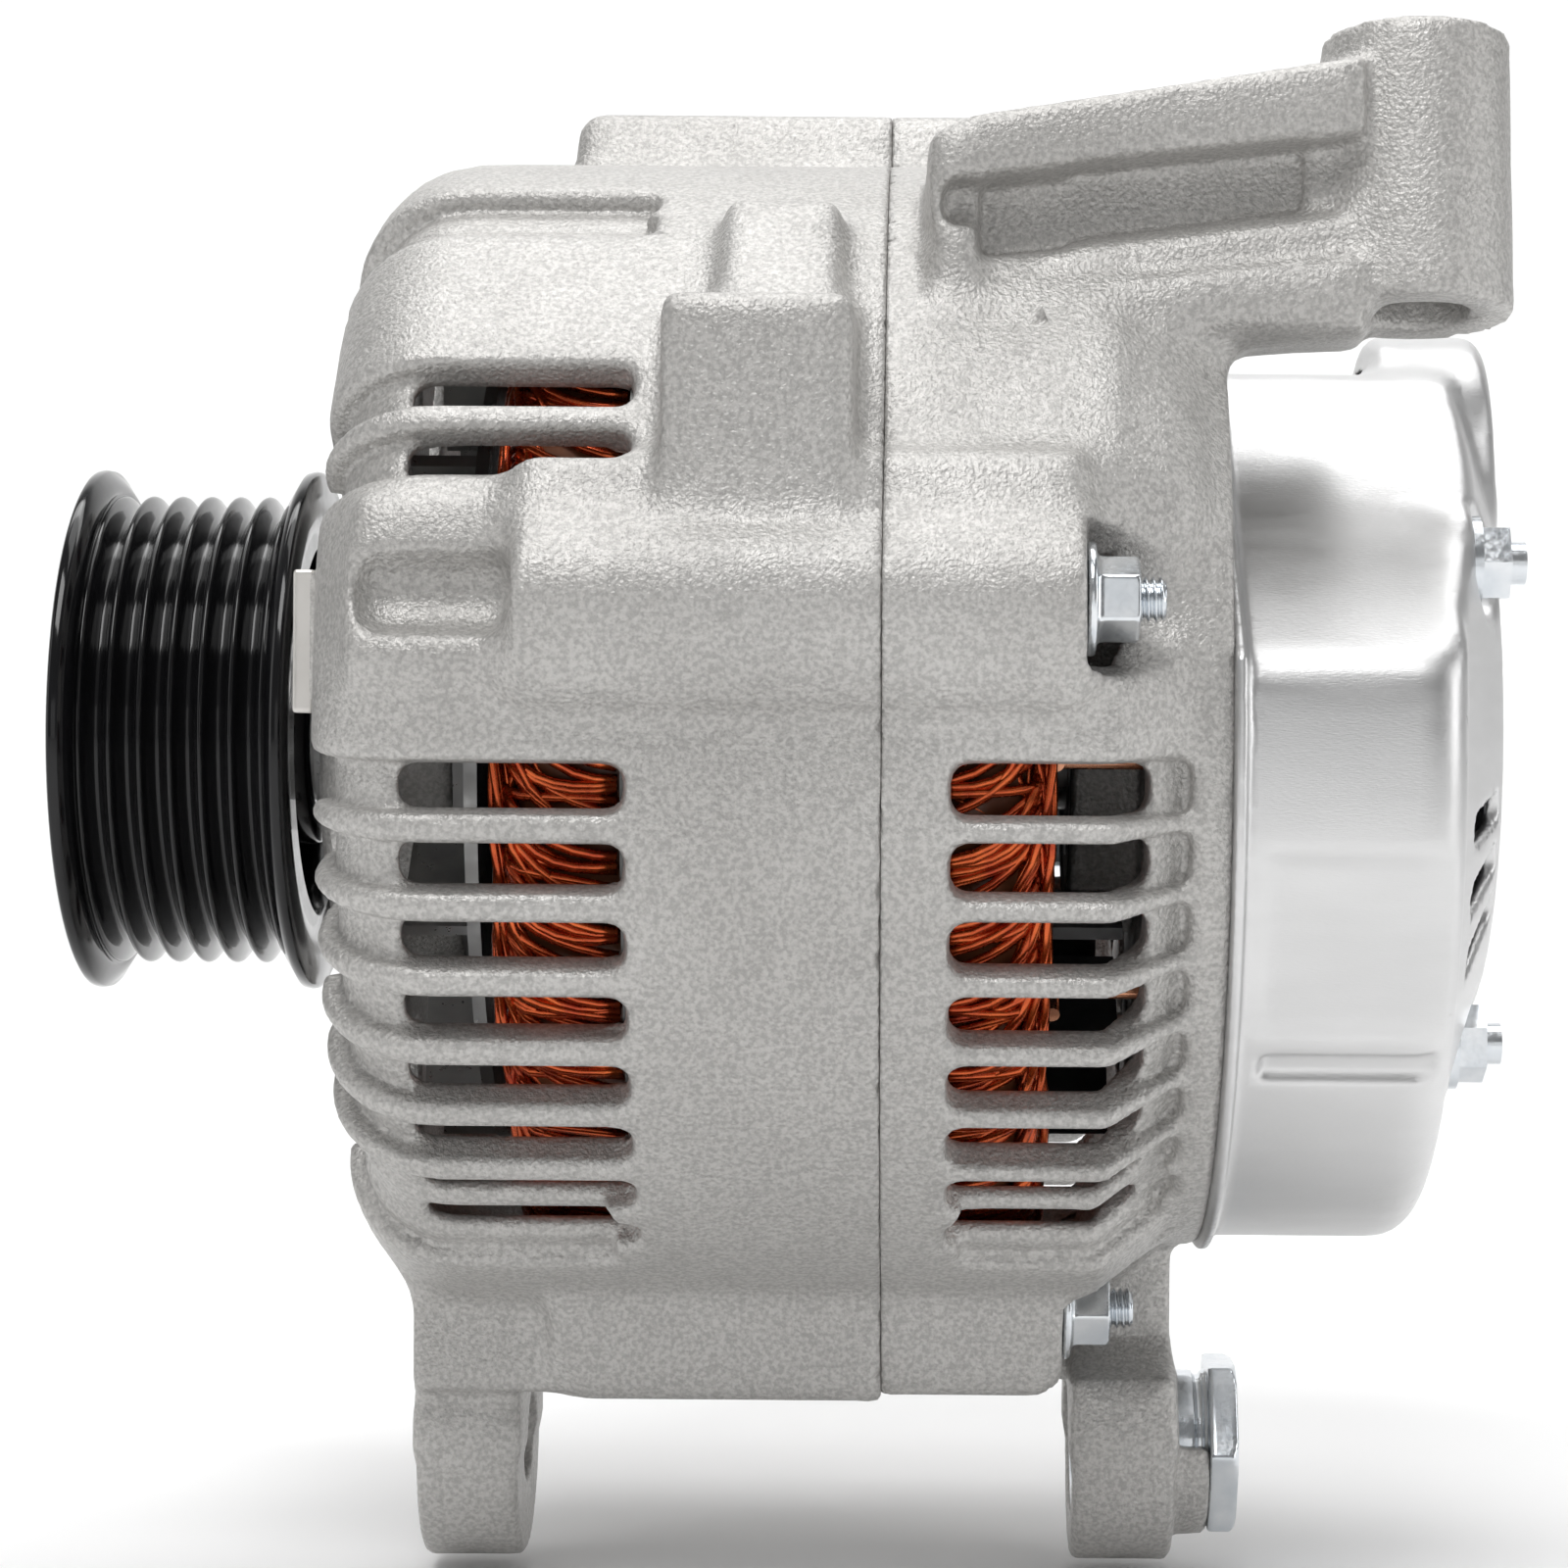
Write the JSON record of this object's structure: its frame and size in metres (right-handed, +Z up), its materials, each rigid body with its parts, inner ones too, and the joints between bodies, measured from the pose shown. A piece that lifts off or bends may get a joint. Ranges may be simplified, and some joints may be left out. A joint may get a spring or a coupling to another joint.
{
  "type": "car alternator",
  "caption": "Belt-driven car alternator with slotted cast housings, internal fans, ribbed pulley, two pivot ears and an arm with a tall bored boss.",
  "frame": {"origin": "centre of the front pivot ear's bore, on the pivot bolt's axis", "axes": "+X along the shaft and the pivot bolt, from the pulley to the electrical end; +Z up from the pivot bolt to the shaft; +Y away from the side with the flat pad"},
  "size_m": [0.177, 0.1526, 0.1823],
  "materials": {
    "cast_aluminium": "sand-grained die casting, matt",
    "stamped_aluminium": "bright satin pressed sheet",
    "machined_aluminium": "fine turned",
    "laminated_steel": "varnished laminations",
    "dark_steel": "dark varnished forging",
    "bearing_steel": "ground and polished",
    "zinc_steel": "blue-white zinc plate",
    "copper_wire": "red-orange enamelled copper",
    "slip_copper": "turned copper",
    "black_paint": "gloss black electrocoat",
    "black_plastic": "moulded, filled",
    "liner_paper": "insulating paper",
    "seal_rubber": "moulded rubber",
    "carbon": "sintered carbon",
    "cage_brass": "pressed brass",
    "spring_steel": "drawn wire"
  },
  "bodies": {
    "housing": {"front_housing": "cast_aluminium", "rear_housing": "cast_aluminium", "rear_cover": "stamped_aluminium", "stator_core": "laminated_steel", "stator_winding": "copper_wire", "slot_liners": "liner_paper", "stator_leads": "copper_wire", "through_studs": "zinc_steel", "flange_nuts": "zinc_steel", "bearing_retainer": "bearing_steel", "retainer_screws": "zinc_steel", "front_bearing_outer_ring": "bearing_steel", "front_bearing_seals": "seal_rubber", "rear_bearing_outer_ring": "bearing_steel", "rear_bearing_seals": "seal_rubber", "rear_bearing_sleeve": "black_plastic", "negative_rectifier_plate": "machined_aluminium", "positive_rectifier_plate": "machined_aluminium", "negative_diodes": "zinc_steel", "positive_diodes": "zinc_steel", "terminal_frame": "black_plastic", "regulator": "black_plastic", "brush_holder": "black_plastic", "slip_ring_guard": "black_plastic", "connector_shell": "black_plastic", "connector_pins": "slip_copper", "output_stud": "zinc_steel", "output_nut": "zinc_steel", "output_insulator": "black_plastic", "cover_studs": "zinc_steel", "cover_nuts": "zinc_steel", "front_brush_spring": "spring_steel", "rear_brush_spring": "spring_steel"},
    "rotor": {"rotor_shaft": "bearing_steel", "front_pole": "dark_steel", "rear_pole": "dark_steel", "field_coil": "copper_wire", "coil_bobbin": "liner_paper", "front_fan": "laminated_steel", "rear_fan": "black_paint", "slip_rings": "slip_copper", "slip_ring_insulator": "black_plastic", "pulley": "black_paint", "pulley_nut": "zinc_steel", "pulley_spacer": "bearing_steel", "front_bearing_inner_ring": "bearing_steel", "rear_bearing_inner_ring": "bearing_steel"},
    "front_balls": {"front_bearing_balls": "bearing_steel", "front_bearing_cage": "cage_brass"},
    "rear_balls": {"rear_bearing_balls": "bearing_steel", "rear_bearing_cage": "cage_brass"},
    "front_brush": {"front_brush": "carbon"},
    "rear_brush": {"rear_brush": "carbon"},
    "pivot_bush": {"pivot_bush": "zinc_steel"}
  },
  "joints": [
    {"name": "rotor_spin", "type": "hinge", "parent": "housing", "child": "rotor", "pos_m": [0.0497, 0, 0.087], "axis": [1, 0, 0], "continuous": true},
    {"name": "front_ball_spin", "type": "hinge", "parent": "housing", "child": "front_balls", "pos_m": [-0.0073, 0, 0.087], "axis": [1, 0, 0], "continuous": true},
    {"name": "rear_ball_spin", "type": "hinge", "parent": "housing", "child": "rear_balls", "pos_m": [0.0772, 0, 0.087], "axis": [1, 0, 0], "continuous": true},
    {"name": "front_brush_slide", "type": "slide", "parent": "housing", "child": "front_brush", "axis": [0, 0, 1], "range_m": [0, 0.006], "stiffness_N_per_m": 150, "springref_m": -0.012, "deforming": ["front_brush_spring"]},
    {"name": "rear_brush_slide", "type": "slide", "parent": "housing", "child": "rear_brush", "axis": [0, 0, 1], "range_m": [0, 0.006], "stiffness_N_per_m": 150, "springref_m": -0.012, "deforming": ["rear_brush_spring"]},
    {"name": "pivot_bush_slide", "type": "slide", "parent": "housing", "child": "pivot_bush", "axis": [1, 0, 0], "range_m": [0, 0.003]}
  ],
  "couplings": [
    {"joint": "front_ball_spin", "follows": "rotor_spin", "ratio": 0.36406},
    {"joint": "rear_ball_spin", "follows": "rotor_spin", "ratio": 0.3816}
  ]
}
